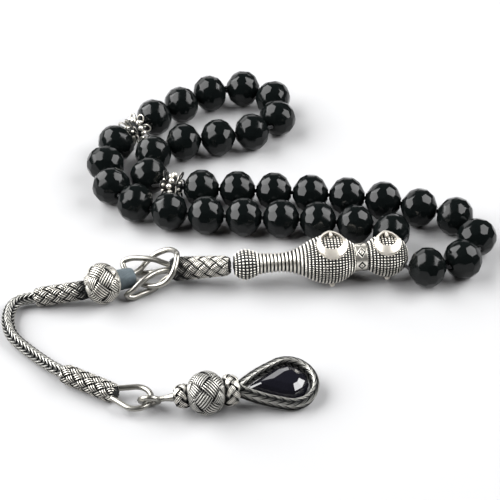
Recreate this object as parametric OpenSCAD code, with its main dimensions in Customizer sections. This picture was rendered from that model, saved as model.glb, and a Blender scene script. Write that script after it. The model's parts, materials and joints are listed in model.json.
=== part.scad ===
// Misbaha: a closed string of faceted beads in three groups, a turned silver head piece
// that both string ends enter, and a silver wire tassel that ends in a set stone.
// Lengths are in millimetres. The object lies on the plane z = 0.

/* [Beads] */
// Distance from the string to a side facet of a bead
bead_r = 4.75; // [4.6:0.05:4.8]
// Distance from the middle of a bead to its end face
bead_half = 4.48; // [4.3:0.02:4.5]
// Half length of the rounded form that the facets follow
bead_polar = 4.38; // [4.34:0.01:4.44]
// Bore radius of beads and spacers
bore_r = 0.6; // [0.56:0.01:0.62]
// Smallest distance between neighbouring beads, middle to middle
bead_pitch = 9.25; // [9.15:0.01:9.3]

/* [String] */
// Radius of the string
string_r = 0.5; // [0.4:0.02:0.54]

/* [Spacers] */
// Radius of a spacer over its petals
spacer_r = 4; // [3.6:0.1:4.1]
// Length of a spacer along the string
spacer_len = 5.5; // [5:0.1:5.6]
// Petals on each face of a spacer
petals = 6; // [5:1:8]

/* [Head piece] */
// Radius of the larger bulb
bulb_r = 6; // [5.8:0.05:6]
// Radius of the smaller bulb, next to the string holes
tip_bulb_r = 5.2; // [5:0.05:5.2]
// Radius of the slimmest part of the neck
neck_r = 2.35; // [2.2:0.05:2.6]
// Radius of the knob at the tassel end
knob_r = 3.85; // [3.4:0.05:4]
// Radius of the plain band between the bulbs
band_r = 3.35; // [3.2:0.05:3.5]

/* [Tassel] */
// Radius of the thick wires of the interlaced link
link_r = 0.68; // [0.5:0.01:0.7]
// Radius of the knitted chain
chain_r = 1.65; // [1.4:0.05:1.65]
// Radius of the braided tubes at the ends of the chain
sleeve_r = 2.35; // [2.25:0.05:2.35]
// Radius of the wire of the pear-shaped ring
ring_r = 0.66; // [0.5:0.01:0.68]
// Radius of the woven balls across their axis
ball_r = 5; // [4.8:0.05:5]
// Half length of the woven balls along their axis
ball_half = 4.5; // [4.3:0.05:4.6]

/* [Pendant] */
// Radius of the round end of the stone
stone_r = 4.6; // [4.2:0.05:4.65]
// Depth of the stone from its table to its back
stone_depth = 5; // [4:0.1:5.4]
// Half width and half depth of the braided frame round the stone
frame_half = [1.1, 2];

/* [Hidden] */
per_group = 11;
bead_count = 3 * per_group;
facets_round = 12;
fine = 96;
medium = 48;
eps = 0.01;
// How far a part that sits on a bulb or a ball stands off its surface
seat_play = 0.02;

// ---------- vectors ----------
function unit(v) = v / norm(v);
function heading(v) = atan2(v[1], v[0]);
function slope(v) = atan2(v[2], norm([v[0], v[1]]));
function along(yaw, pitch) = [cos(pitch) * cos(yaw), cos(pitch) * sin(yaw), sin(pitch)];

// A smooth curve through points, leaving the first and last as guides, with n steps a span
function spline_at(a, b, c, d, t) =
    0.5 * (2 * b + (c - a) * t + (2 * a - 5 * b + 4 * c - d) * t * t
        + (3 * b - a - 3 * c + d) * t * t * t);
function spline(p, n) = [
    for (i = [1 : len(p) - 3], k = [0 : n - 1])
        spline_at(p[i - 1], p[i], p[i + 1], p[i + 2], k / n),
    p[len(p) - 2]
];
function direction(p, i) = unit(p[min(i + 1, len(p) - 1)] - p[max(i - 1, 0)]);

// Stands children's +Z along a direction, with their +X pointing down
module aim(at, dir) {
    translate(at) rotate([0, 90 - slope(dir), heading(dir)]) children();
}

// ---------- swept tubes ----------
// Half width w across and half height h up, at each point of p, facing directions t
function sweep_ring(c, t, w, h, sides) =
    let (side = unit(cross(t, [0, 0, 1])), up = cross(side, t))
    [for (k = [0 : sides - 1]) c + w * cos(360 * k / sides) * side + h * sin(360 * k / sides) * up];
function at_ring(v, i) = is_list(v) ? v[i] : v;
function tube_points(p, t, w, h, sides) = [
    for (i = [0 : len(p) - 1]) each sweep_ring(p[i], t[i], at_ring(w, i), at_ring(h, i), sides)
];
function tube_faces(rings, sides) = [
    [for (k = [sides - 1 : -1 : 0]) k],
    for (i = [0 : rings - 2], k = [0 : sides - 1])
        let (a = i * sides + k, b = i * sides + (k + 1) % sides)
            each [[a, b, a + sides], [b, b + sides, a + sides]],
    [for (k = [0 : sides - 1]) (rings - 1) * sides + k]
];
module swept(p, t, w, h, sides) {
    polyhedron(tube_points(p, t, w, h, sides), tube_faces(len(p), sides));
}
// The same, round a flat closed outline
module closed_sweep(outline, w, h, sides) {
    n = len(outline);
    p = [for (q = outline) [q[0], q[1], 0]];
    t = [for (i = [0 : n - 1]) unit(p[(i + 1) % n] - p[(i + n - 1) % n])];
    faces = [for (i = [0 : n - 1], k = [0 : sides - 1])
        let (a = i * sides + k, b = i * sides + (k + 1) % sides,
            c = ((i + 1) % n) * sides + k, d = ((i + 1) % n) * sides + (k + 1) % sides)
        each [[a, b, c], [b, d, c]]];
    polyhedron(tube_points(p, t, w, h, sides), faces);
}
module wire(route, r, steps, sides = 10) {
    p = spline(route, steps);
    swept(p, [for (i = [0 : len(p) - 1]) direction(p, i)], r, r, sides);
}

// ---------- the string's route ----------
// Middle of the smaller bulb, where both string ends meet
chamber = [32.1, -13.1, 6];
// Hand-placed points from the near string hole round the loop to the far one.
// The first and last points only set the direction in which the string leaves the holes.
string_route = [
    [32, -13, 6], [36.3, -16.2, 5.5], [42, -16.6, 5], [50.8, -13.2, 4.75], [55, -5, 4.75],
    [50.8, 3.2, 4.75], [42, 6.9, 4.75], [33, 9.8, 4.75], [24, 11.6, 4.75], [5.5, 13.6, 4.75],
    [-12.5, 14.8, 4.75], [-20, 15.6, 4.75], [-26.4, 18.6, 4.75], [-27.4, 28, 4.75],
    [-20.5, 34.4, 4.75], [-11, 36.8, 4.75], [-2, 39, 4.75], [5.4, 44, 4.75], [6.8, 53.2, 4.75],
    [-2, 60, 4.75], [-12, 58, 4.75], [-26, 47.3, 4.75], [-31.6, 41, 4.75], [-36.2, 35.2, 4.75],
    [-38.6, 27.4, 4.75], [-37.6, 18.2, 4.75], [-31.8, 10.2, 4.75], [-22.5, 6, 4.75],
    [-13, 4.1, 4.75], [5.5, 2.7, 4.75], [14.5, 1.9, 4.75], [24.5, 0.6, 4.75], [34.2, -3.4, 5],
    [35.6, -9.2, 5.5], [32, -13, 6]
];
lead_in = 5.6;
bead_gap = 0.15;
end_face_r = 1.35;
spacer_bore_face_r = 1.3;
path = spline(string_route, 90);

// What is on the string, in order: true is a bead and false a spacer
strung = [for (i = [0 : bead_count + 1]) i != per_group && i != 2 * per_group + 1];
function half_of(i) = strung[i] ? bead_half : spacer_len / 2;
function face_of(i) = strung[i] ? end_face_r : spacer_bore_face_r;

// How far a piece reaches along a direction that makes an angle with its axis
function reach(i, c) = half_of(i) * c + face_of(i) * sqrt(max(0, 1 - c * c));
function clear_of(i, m, k) =
    let (chord = path[m] - path[k], d = norm(chord), u = chord / max(d, eps),
        need = reach(i, direction(path, k) * u) + reach(i + 1, direction(path, m) * u) + bead_gap)
    d >= max(need, strung[i] && strung[i + 1] ? bead_pitch : 0);
// The first point of the path, from m on, where piece i + 1 clears piece i at point k
function next_place(i, k, m) =
    m >= len(path) - 1 || clear_of(i, m, k) ? m : next_place(i, k, m + 1);
function first_place(m, run) =
    run >= lead_in ? m : first_place(m + 1, run + norm(path[m + 1] - path[m]));
function places(i, k) =
    i == bead_count + 1 ? [k] : concat([k], places(i + 1, next_place(i, k, k + 15)));
seats = places(0, first_place(0, 0));
function seat(i) = path[seats[i]];
function lean(i) = direction(path, seats[i]);
function strung_index(bead) = bead - 1 + floor((bead - 1) / per_group);
bore_end = 0.04;
function bore_points(i) =
    [seat(i) - (half_of(i) + bore_end) * lean(i), seat(i) + (half_of(i) + bore_end) * lean(i)];
function mid_gap(i) = (bore_points(i)[1] + bore_points(i + 1)[0]) / 2;

// Places where the string is parted so that the loop can fold.
// Each fold is the first and the last of the strung pieces that lie beyond it.
fold_gap = 0.12;
folds = [[7, 32], [9, 30], [13, 25], [16, 19]];
function strand(from_i, to_i, start, end) =
    let (inner = [for (i = [from_i : to_i]) each bore_points(i)]) concat(start, inner, end);
function strand_dirs(from_i, to_i, first, last) =
    concat(first, [for (i = [from_i : to_i]) each [lean(i), lean(i)]], last);
function gap_dir(i) = unit(bore_points(i + 1)[0] - bore_points(i)[1]);
function after_gap(i) = mid_gap(i) + fold_gap * gap_dir(i);
function before_gap(i) = mid_gap(i) - fold_gap * gap_dir(i);

// ---------- placing of the head piece and tassel ----------
head_at = [18.5, -14.6, 6];
head_yaw = 5.8;
tip_bulb_x = 13.66;
tail_x = -23.5;
hole_swing = 42;
hole_drop = 6;
tail_joint = [-5.3, -17, 6];
sleeve_1 = [[-5.95, -16.92, 5.88], [-19.9, -15.3, 3.4]];
collar_mouth = [-29.6, -18.4, 3.4];
collar_r = 2.4;
ball_1_at = [-36.3, -22.5, 5];
sleeve_2 = [[-39.6, -23.5, 4], [-52.2, -24.6, 2.4]];
sleeve_3 = [[-43.2, -50.4, 2.35], [-31.1, -57.2, 2.35]];
ring_pivot = [-32, -56.7, 2.35];
ring_yaw = -16.6;
ring_big_r = 3.45;
ring_small_r = 1.2;
ring_span = 5.75;
eye_at = [-23.4, -59.35, 2.5];
eye_r = 2.05;
eye_lean = 30;
eye_wire_r = 0.66;
// Where the pin enters its collar it is thickest
pin_neck_r = 1;
ball_2_at = [-10.7, -59.5, 5];
drop_yaw = 14.8;
drop_slope = -5.2;
drop_roll = 12;

// Route of the knitted chain from inside one sleeve to inside the other; pivots at points 4, 6 and 8
chain_route = [
    [-47, -24.2, 3.1], [-50.5, -24.5, 2.6], [-54, -24.6, 2.1], [-56.6, -25.6, 1.9],
    [-58, -28.6, 1.7], [-57.9, -33, 1.7], [-56.2, -37.6, 1.7], [-52.6, -41.8, 1.7],
    [-48.4, -45.8, 1.7], [-45.2, -48.9, 2.2], [-41.8, -51.2, 2.35], [-39, -52.8, 2.35]
];
// Big bight of the link: from the collar, round the end of the upper sleeve and back
link_route = [
    [-34, -20.3, 4.4], [-32.4, -19.2, 4], [-30.8, -18.3, 3.6], [-29.2, -17, 3.3],
    [-27.6, -14.4, 2.7], [-26.1, -11.8, 2.9], [-23.7, -10.4, 4.2], [-21, -10.9, 5.8],
    [-19.2, -12.9, 6.9], [-18.6, -15.8, 7.8], [-19.3, -19.2, 6.2], [-21.2, -20.8, 4],
    [-23.7, -20.9, 2.8], [-26.2, -20.2, 2.5], [-28.4, -19.6, 3.1], [-30.1, -19.6, 3.6],
    [-31.6, -20.7, 4], [-33.3, -21.5, 4.4]
];
// The two small bights that come from the upper sleeve and hook over the legs of the big one
far_bight_route = [
    [-14, -14.9, 5.3], [-16, -14.9, 4.9], [-18.6, -14.8, 4.3], [-21, -14.4, 4.2],
    [-24, -13.5, 4.8], [-27, -12.8, 4.7], [-29.9, -12.1, 4.1], [-32, -12.3, 3.1],
    [-31.3, -13.9, 1.9], [-28.8, -14.2, 1.1], [-25.4, -14, 1.1], [-22.4, -14.8, 2.2],
    [-20.4, -15, 2.6], [-18.6, -14.8, 2.7], [-16, -14.9, 3.2], [-14, -14.9, 3.6]
];
near_bight_route = [
    [-14, -16.6, 5.3], [-16, -16.6, 4.9], [-18.6, -16.4, 4.4], [-21, -16.7, 4.4],
    [-23.8, -18.2, 4.7], [-26.6, -20.6, 4.4], [-29, -22.4, 3], [-30.5, -23, 1.8],
    [-29.2, -22.9, 0.9], [-26.8, -21.4, 0.85], [-24.3, -19.6, 0.85], [-22.2, -17.6, 1.4],
    [-20.4, -16.5, 2.1], [-18.6, -16.4, 2.7], [-16, -16.6, 3.2], [-14, -16.6, 3.6]
];

function bead_name(b) = str("bead_", b < 10 ? "0" : "", b);

silver = [0.74, 0.72, 0.68];
dark_silver = [0.35, 0.36, 0.35];
onyx = [0.03, 0.03, 0.035];
thread = [0.05, 0.05, 0.06];

// ---------- beads and spacers ----------
// Where a line (n1 . [r, z] = d1) meets a line (n2 . [r, z] = d2)
function meet(n1, d1, n2, d2) =
    let (det = n1[0] * n2[1] - n1[1] * n2[0])
    [(d1 * n2[1] - d2 * n1[1]) / det, (n1[0] * d2 - n2[0] * d1) / det];
function facet_normal(lat, edge) = [cos(lat) * (edge ? cos(180 / facets_round) : 1), sin(lat)];
function facet_depth(lat) = norm([bead_r * cos(lat), bead_polar * sin(lat)]);
function corner(lat_a, edge_a, lat_b, edge_b) =
    meet(facet_normal(lat_a, edge_a), facet_depth(lat_a), facet_normal(lat_b, edge_b), facet_depth(lat_b));
shoulder = 30;
crown = 58;
end_ring = [(facet_depth(crown) - bead_half * sin(crown)) / facet_normal(crown, true)[0], bead_half];
// Corner rings of one half of a bead: [radius, height] and whether the ring is turned half a facet
corner_rings = [
    [corner(0, true, shoulder, false), 0.5], [corner(0, false, shoulder, true), 0],
    [corner(shoulder, true, crown, false), 0], [corner(shoulder, false, crown, true), 0.5],
    [end_ring, 0.5]
];
bead_corners = [
    for (ring = corner_rings, k = [0 : facets_round - 1], end = [-1, 1])
        let (a = 360 * (k + ring[1]) / facets_round)
        [ring[0][0] * cos(a), ring[0][0] * sin(a), end * ring[0][1]]
];
module faceted_bead() {
    difference() {
        hull() polyhedron(bead_corners, [[for (k = [0 : len(bead_corners) - 1]) k]]);
        cylinder(h = 3 * bead_half, r = bore_r, center = true, $fn = fine);
    }
}
module bead(b) {
    i = strung_index(b);
    color(onyx) aim(seat(i), lean(i)) faceted_bead();
}

// A drilled core with a flower of round petals at each end and a row of grains round its middle
module filigree_spacer() {
    core_r = 1.9;
    petal_r = 1.25;
    petal_thick = 0.7;
    grain_r = 0.8;
    grains = 12;
    grain_row_r = 3;
    difference() {
        union() {
            cylinder(h = spacer_len, r = spacer_bore_face_r, center = true, $fn = medium);
            cylinder(h = spacer_len - 1, r = core_r, center = true, $fn = medium);
            cylinder(h = 1.2, r = grain_row_r, center = true, $fn = medium);
            for (k = [0 : grains - 1])
                rotate([0, 0, 360 * k / grains]) translate([grain_row_r, 0, 0])
                    sphere(r = grain_r, $fn = 24);
            for (end = [-1, 1], k = [0 : petals - 1])
                rotate([0, 0, 360 * k / petals])
                    translate([spacer_r - petal_r, 0, end * (spacer_len / 2 - 0.85)])
                        difference() {
                            cylinder(h = petal_thick, r = petal_r, center = true, $fn = 32);
                            cylinder(h = 1, r = petal_r - 0.55, center = true, $fn = 32);
                        }
        }
        cylinder(h = 2 * spacer_len, r = bore_r, center = true, $fn = fine);
    }
}
module spacer(i) { color(silver) aim(seat(i), lean(i)) filigree_spacer(); }
module spacer_a() { spacer(per_group); }
module spacer_b() { spacer(2 * per_group + 1); }

// ---------- string ----------
module string_run(from_i, to_i, start, end, first_dir, last_dir) {
    color(thread)
        swept(strand(from_i, to_i, start, end), strand_dirs(from_i, to_i, first_dir, last_dir),
            string_r, string_r, 8);
}
hole_mouth_r = tip_bulb_r + 0.1;
strand_end_r = 1.1;
twist_r = 0.9;
function hole_dir(side) = along(head_yaw + side * hole_swing, -hole_drop);
// Piece of loop between two folds: one strand out and one strand back
module loop_part(k) {
    a = folds[k - 1];
    b = folds[k];
    string_run(a[0], b[0] - 1, [after_gap(a[0] - 1)], [before_gap(b[0] - 1)],
        [gap_dir(a[0] - 1)], [gap_dir(b[0] - 1)]);
    string_run(b[1] + 1, a[1], [after_gap(b[1])], [before_gap(a[1])],
        [gap_dir(b[1])], [gap_dir(a[1])]);
}
// Both strands go into the head piece, and their twisted ends run through it to the tail
module string_0() {
    a = folds[0];
    string_run(0, a[0] - 1, [chamber + strand_end_r * hole_dir(-1), chamber + hole_mouth_r * hole_dir(-1)],
        [before_gap(a[0] - 1)], [hole_dir(-1), hole_dir(-1)], [gap_dir(a[0] - 1)]);
    string_run(a[1] + 1, bead_count + 1, [after_gap(a[1])],
        [chamber + hole_mouth_r * hole_dir(1), chamber + strand_end_r * hole_dir(1)],
        [gap_dir(a[1])], [-hole_dir(1), -hole_dir(1)]);
    twist_len = tip_bulb_x - strand_end_r - tail_x + 0.25;
    color(thread) at_head() translate([tail_x - 0.25, 0, 0]) rotate([0, 90, 0])
        cylinder(h = twist_len, r = twist_r, $fn = medium);
}
module string_1() { loop_part(1); }
module string_2() { loop_part(2); }
module string_3() { loop_part(3); }
module string_4() {
    a = folds[3];
    string_run(a[0], a[1], [after_gap(a[0] - 1)], [before_gap(a[1])],
        [gap_dir(a[0] - 1)], [gap_dir(a[1])]);
}

// ---------- head piece ----------
module at_head() { translate(head_at) rotate([0, 0, head_yaw]) children(); }
head_profile = [
    [-24, 2.2], [-23.5, 2.4], [-22.6, 3.2], [-20.7, knob_r], [-18.7, 3.3], [-17.3, 2.7],
    [-15, 2.45], [-12.3, neck_r], [-9.6, 2.8], [-7, 3.75], [-4.4, 5.05], [-2, 5.85],
    [0, bulb_r], [2, 5.75], [4, 4.7], [5.7, 3.5], [6.4, 3.2]
];
tip_profile = [
    [8.2, 3.1], [8.9, 3.3], [10.2, 4.2], [11.8, 4.95], [tip_bulb_x, tip_bulb_r], [15.6, 4.85],
    [17.2, 3.95], [18.3, 2.7], [18.9, 1.2], [19.1, 0]
];
// Half of the outline, which is turned about the x axis
head_outline = concat([[tail_x, 0]], spline(head_profile, 5),
    [[5.8, band_r], [8.7, band_r]], spline(tip_profile, 5), [[18.9, 0]]);
module head_form(grow = 0) {
    rotate([0, 90, 0]) rotate_extrude($fn = fine)
        polygon([for (p = head_outline) [p[1] > 0 ? p[1] + grow : 0, p[0]]]);
}
axial_bore_r = 1.3;
module imame_body() {
    hole_r = 0.62;
    color(silver) at_head() difference() {
        head_form();
        translate([tail_x - 1, 0, 0]) rotate([0, 90, 0])
            cylinder(h = tip_bulb_x - tail_x + 1, r = axial_bore_r, $fn = fine);
        translate([tip_bulb_x, 0, 0]) sphere(r = 1.9, $fn = medium);
        for (side = [-1, 1])
            translate([tip_bulb_x, 0, 0]) rotate([0, 90 + hole_drop, side * hole_swing])
                cylinder(h = 8, r = hole_r, $fn = fine);
    }
}

// A crescent that closes into a pointed arch, drawn flat with the point along +Y
module crescent_outline(r, point, band) {
    difference() {
        hull() {
            circle(r = r, $fn = medium);
            translate([0, point]) circle(r = 0.3, $fn = 16);
        }
        hull() {
            translate([0, band * 0.75]) circle(r = r - band, $fn = medium);
            translate([0, point - 1.1]) circle(r = 0.15, $fn = 16);
        }
    }
}
// The drop that hangs inside the arch from its point
module arch_drop_outline(point) {
    hull() {
        translate([0, point - 0.9]) circle(r = 0.2, $fn = 12);
        translate([0, point - 2.5]) circle(r = 0.45, $fn = 16);
    }
}
module ornament_on(x, r, size, point) {
    lift = 0.9;
    tilt_to_front = 14;
    intersection() {
        translate([x, 0, 0]) rotate([tilt_to_front, 0, 0]) union() {
            linear_extrude(height = 12) crescent_outline(size, point, 1);
            linear_extrude(height = 12) arch_drop_outline(point);
        }
        difference() {
            head_form(lift);
            head_form(seat_play);
        }
    }
    stud_r = 0.75;
    stud_angle = 50;
    difference() {
        translate([x, -cos(stud_angle) * r, -sin(stud_angle) * r]) sphere(r = stud_r, $fn = 24);
        head_form(seat_play);
    }
}
module imame_ornaments() {
    color(silver) at_head() {
        ornament_on(0, bulb_r, 3.7, 5);
        ornament_on(tip_bulb_x - 0.1, tip_bulb_r, 3.2, 4.4);
    }
}

// ---------- tassel: upper sleeve, link and collar ----------
function span_len(s) = norm(s[1] - s[0]);
module along_span(s) { aim(s[0], s[1] - s[0]) children(); }
module turned(outline) { rotate_extrude($fn = fine) polygon(outline); }

// How much wider the socket of a wire is than the wire
socket_play = 0.02;
module hook_form(r) {
    wire(far_bight_route, r, 3);
    wire(near_bight_route, r, 3);
}
module link_form(r) { wire(link_route, r, 3); }

// A braided sleeve, open at both ends: the knot of the string at one and the small bights at the other
module upper_sleeve() {
    l = span_len(sleeve_1);
    outline = concat([[0, 0]], spline([[1.6, -0.4], [2, 0], [2.5, 0.9], [2.7, 5], [2.9, 11],
        [2.95, l - 1.5], [2.7, l], [2, l + 1]], 4), [[0, l]]);
    knot_room_r = 1.7;
    knot_room_len = 3.4;
    mouth_r = 2.4;
    mouth_len = 3.2;
    color(dark_silver) difference() {
        along_span(sleeve_1) difference() {
            turned(outline);
            translate([0, 0, -1]) cylinder(h = knot_room_len + 1, r = knot_room_r, $fn = fine);
            translate([0, 0, l - mouth_len]) cylinder(h = mouth_len + 1, r = mouth_r, $fn = fine);
        }
        hook_form(link_r + socket_play);
    }
}
// The string's ends are knotted behind the mouth of the upper sleeve
module string_knot() {
    color(thread) along_span(sleeve_1) {
        translate([0, 0, 1.75]) sphere(r = 1.5, $fn = medium);
        translate([0, 0, -0.15]) cylinder(h = 1.2, r = twist_r, $fn = medium);
    }
}
module hook_wires() { color(silver) hook_form(link_r); }
module link_wire() { color(silver) link_form(link_r); }

module ball_form(grow = 0) {
    turned([for (k = [0 : 24]) let (a = -90 + 180 * k / 24)
        [(ball_r + grow) * cos(a), (ball_half + grow) * sin(a)]]);
}
ball_1_axis = ball_1_at - collar_mouth;
module at_ball_1() { aim(ball_1_at, along(196, -4)) children(); }
// A wire-wrapped collar that holds both legs of the big bight
module wrapped_collar() {
    l = norm(ball_1_axis);
    mouth_r = 1.9;
    mouth_len = 1.6;
    color(dark_silver) difference() {
        aim(collar_mouth, ball_1_axis) difference() {
            cylinder(h = l - 2, r = collar_r, $fn = fine);
            translate([0, 0, -1]) cylinder(h = mouth_len + 1, r = mouth_r, $fn = fine);
        }
        link_form(link_r + socket_play);
        at_ball_1() ball_form(seat_play);
    }
}
module woven_ball_upper() { color(silver) at_ball_1() ball_form(); }

// A braided sleeve with a socket for the chain at its outer end
socket_clearance = 0.15;
socket_depth = 2;
sleeve_mouth_r = 2.1;
module sleeve_form(l, mouth_r) {
    turned(concat([[0, 0]], spline([[mouth_r - 0.9, -0.5], [mouth_r, 0], [sleeve_r, 0.8],
        [sleeve_r, l - 0.8], [mouth_r, l], [mouth_r - 0.9, l + 0.5]], 4), [[0, l]]));
}
module middle_sleeve() {
    l = span_len(sleeve_2);
    color(silver) difference() {
        along_span(sleeve_2) difference() {
            sleeve_form(l, sleeve_mouth_r);
            translate([0, 0, l - socket_depth])
                cylinder(h = 4, r = chain_r + socket_clearance, $fn = fine);
        }
        at_ball_1() ball_form(seat_play);
    }
}

// ---------- tassel: knitted chain ----------
chain_steps = 3;
chain_path = spline(chain_route, chain_steps);
joint_play = 0.1;
dome_angles = [25, 50, 75];
// Index in chain_path of a route point
function path_index(route_point) = (route_point - 1) * chain_steps;
// Each bend is a round end of one piece in a hollow end of the next
module chain_link(from_point, to_point, hollow_start, round_end) {
    run = [path_index(from_point) : path_index(to_point)];
    last = path_index(to_point);
    dome = round_end ? dome_angles : [];
    p = concat([for (i = run) chain_path[i]],
        [for (a = dome) chain_path[last] + chain_r * sin(a) * direction(chain_path, last)]);
    t = concat([for (i = run) direction(chain_path, i)],
        [for (a = dome) direction(chain_path, last)]);
    r = concat([for (i = run) chain_r], [for (a = dome) chain_r * cos(a)]);
    color(silver) difference() {
        swept(p, t, r, r, 12);
        if (hollow_start) translate(chain_route[from_point])
            sphere(r = chain_r + joint_play, $fn = medium);
    }
}
module chain_1() { chain_link(1, 4, false, true); }
module chain_2() { chain_link(4, 6, true, true); }
module chain_3() { chain_link(6, 8, true, true); }
module chain_4() { chain_link(8, 10, true, false); }

// The lower sleeve ends in a slot with a cross pin that the ring hangs on
ring_pin_r = 0.45;
module lower_sleeve() {
    l = span_len(sleeve_3);
    slot_h = 2 * ring_r + 0.4;
    slot_len = 8.6;
    pin_len = 3.8;
    color(silver) {
        along_span(sleeve_3) difference() {
            sleeve_form(l, sleeve_mouth_r);
            translate([0, 0, -2])
                cylinder(h = socket_depth + 2, r = chain_r + socket_clearance, $fn = fine);
            translate([0, 0, l + 1]) cube([slot_h, 3 * sleeve_r, slot_len], center = true);
        }
        translate(ring_pivot) cylinder(h = pin_len, r = ring_pin_r, center = true, $fn = fine);
    }
}

// ---------- ring and pendant ----------
// A pear-shaped outline: a small bow about x = 0 and a big one about x = span, joined by legs.
// Each bow and leg has the given number of steps; bulge rounds the legs outwards.
function bow(x, r, from, to, n) = [
    for (k = [0 : n]) let (q = from + (to - from) * k / n) [x + r * cos(q), r * sin(q)]
];
function pear(span, small_r, big_r, small_n, big_n, leg_n, bulge = 0) =
    let (turn = asin((big_r - small_r) / span), normal = [-sin(turn), cos(turn)],
        leg = [for (k = [1 : 1 : leg_n - 1]) let (f = k / leg_n)
            [span * (1 - f), 0] + (big_r * (1 - f) + small_r * f + bulge * sin(180 * f)) * normal])
    concat(
        bow(span, big_r, -90 - turn, 90 + turn, big_n), leg,
        bow(0, small_r, 90 + turn, 270 - turn, small_n),
        [for (k = [len(leg) - 1 : -1 : 0]) [leg[k][0], -leg[k][1]]]
    );
// The small bow of the ring goes round the pin of the lower sleeve
module ring() {
    color(silver) translate(ring_pivot) rotate([0, 0, ring_yaw])
        closed_sweep(pear(ring_span, ring_small_r, ring_big_r, 10, 22, 2), ring_r, ring_r, 12);
}

pin_axis = ball_2_at - eye_at;
module at_ball_2() { aim(ball_2_at, along(7, 2)) children(); }
module eye_pin() {
    color(silver) difference() {
        union() {
            translate(eye_at) rotate([90 + eye_lean, 0, heading(pin_axis)])
                rotate_extrude($fn = fine) translate([eye_r, 0]) circle(r = eye_wire_r, $fn = 32);
            aim(eye_at, pin_axis) translate([0, 0, eye_r])
                cylinder(h = norm(pin_axis) - eye_r - 3, r = eye_wire_r, $fn = medium);
            aim(eye_at, pin_axis) translate([0, 0, eye_r + 1])
                cylinder(h = 2.5, r1 = eye_wire_r - 0.1, r2 = pin_neck_r, $fn = medium);
        }
        at_ball_2() ball_form(seat_play);
    }
}
module collar_above() {
    l = norm(pin_axis);
    difference() {
        aim(eye_at, pin_axis) translate([0, 0, 5.6]) difference() {
            turned([[0, 0], [2, 0], [2.6, 0.5], [2.7, 1.8], [2.6, l - 7.6], [0, l - 7.6]]);
            translate([0, 0, -1]) cylinder(h = l, r = eye_wire_r + 0.05, $fn = fine);
        }
        at_ball_2() ball_form(seat_play);
    }
}
module woven_ball_lower() { color(silver) at_ball_2() ball_form(); }

// The drop hangs from the lower ball: x along it, y across it, z out of the table of the stone
module at_drop() {
    translate(ball_2_at) rotate([0, 0, drop_yaw]) rotate([0, -drop_slope, 0])
        rotate([drop_roll, 0, 0]) children();
}
module collar_below() {
    difference() {
        at_drop() rotate([0, 90, 0])
            turned([[0, 3], [3, 3], [3.1, 4.2], [3.5, 5.4], [3.2, 6.5], [2.5, 7.1], [0, 7.1]]);
        at_ball_2() ball_form(seat_play);
    }
}
module pendant_collars() {
    color(silver) {
        collar_above();
        collar_below();
    }
}
frame_tip = 8.2;
frame_middle = 19.2;
frame_r = 5.8;
module stone_frame() {
    outline = pear(frame_middle - frame_tip, 0.8, frame_r, 3, 16, 5, 0.35);
    color(dark_silver) difference() {
        at_drop() translate([frame_tip, 0, 0])
            closed_sweep(outline, frame_half[0], frame_half[1], 10);
        at_drop() rotate([0, 90, 0]) cylinder(h = 7.12, r = 4, $fn = medium);
    }
}
// A cut stone: a flat table, a band of crown facets, a girdle and a pointed back
stone_tip = 10.4;
stone_middle = frame_middle - 0.1;
module stone() {
    // Layers of the cut: size against the girdle, and height for a stone five millimetres deep
    layers = [[1, 0.35], [1, -0.35], [0.74, 1.7], [0.42, 2.5], [0.6, -1.7], [0.2, -2.5]];
    girdle = pear(stone_middle - stone_tip, 0.5, stone_r, 2, 7, 2);
    color(onyx) at_drop() translate([stone_middle, 0, 0]) hull()
        for (l = layers) translate([0, 0, l[1] * stone_depth / 5])
            linear_extrude(height = 0.01)
                polygon([for (q = girdle) (q - [stone_middle - stone_tip, 0]) * l[0]]);
}

imame_body();
imame_ornaments();
string_0();
string_1();
string_2();
string_3();
string_4();
for (b = [1 : bead_count]) bead(b);
spacer_a();
spacer_b();
upper_sleeve();
string_knot();
hook_wires();
link_wire();
wrapped_collar();
woven_ball_upper();
middle_sleeve();
chain_1();
chain_2();
chain_3();
chain_4();
lower_sleeve();
ring();
eye_pin();
woven_ball_lower();
pendant_collars();
stone_frame();
stone();
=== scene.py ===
import json
import math

import bpy
import numpy as np
from mathutils import Matrix, Vector

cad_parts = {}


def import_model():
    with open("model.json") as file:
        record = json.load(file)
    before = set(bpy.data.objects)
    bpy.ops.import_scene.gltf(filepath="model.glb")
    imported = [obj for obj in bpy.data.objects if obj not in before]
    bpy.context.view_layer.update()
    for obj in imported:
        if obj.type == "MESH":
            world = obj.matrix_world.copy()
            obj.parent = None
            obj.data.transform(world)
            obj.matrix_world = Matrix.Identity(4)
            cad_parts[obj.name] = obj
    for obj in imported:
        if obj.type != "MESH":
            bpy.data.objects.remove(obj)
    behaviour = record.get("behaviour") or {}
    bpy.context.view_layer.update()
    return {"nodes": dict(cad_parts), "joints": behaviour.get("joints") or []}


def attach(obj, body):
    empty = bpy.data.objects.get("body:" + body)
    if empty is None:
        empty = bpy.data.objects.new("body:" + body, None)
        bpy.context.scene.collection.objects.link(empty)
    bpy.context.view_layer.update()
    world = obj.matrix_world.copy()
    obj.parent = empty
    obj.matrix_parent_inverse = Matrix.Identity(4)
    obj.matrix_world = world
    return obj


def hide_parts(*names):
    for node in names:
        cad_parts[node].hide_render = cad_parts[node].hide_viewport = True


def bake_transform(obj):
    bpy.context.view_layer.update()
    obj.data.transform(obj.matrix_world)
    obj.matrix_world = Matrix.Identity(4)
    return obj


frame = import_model()

MM = 0.001
TAU = 2 * math.pi


# ---------- camera ----------
CAMERA_ELEVATION = 39.8
CAMERA_DISTANCE = 413.8 * MM
LENS_MM = 119.5
LOOK_AT = Vector((-1.0, -4.0, 0.0)) * MM


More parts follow.
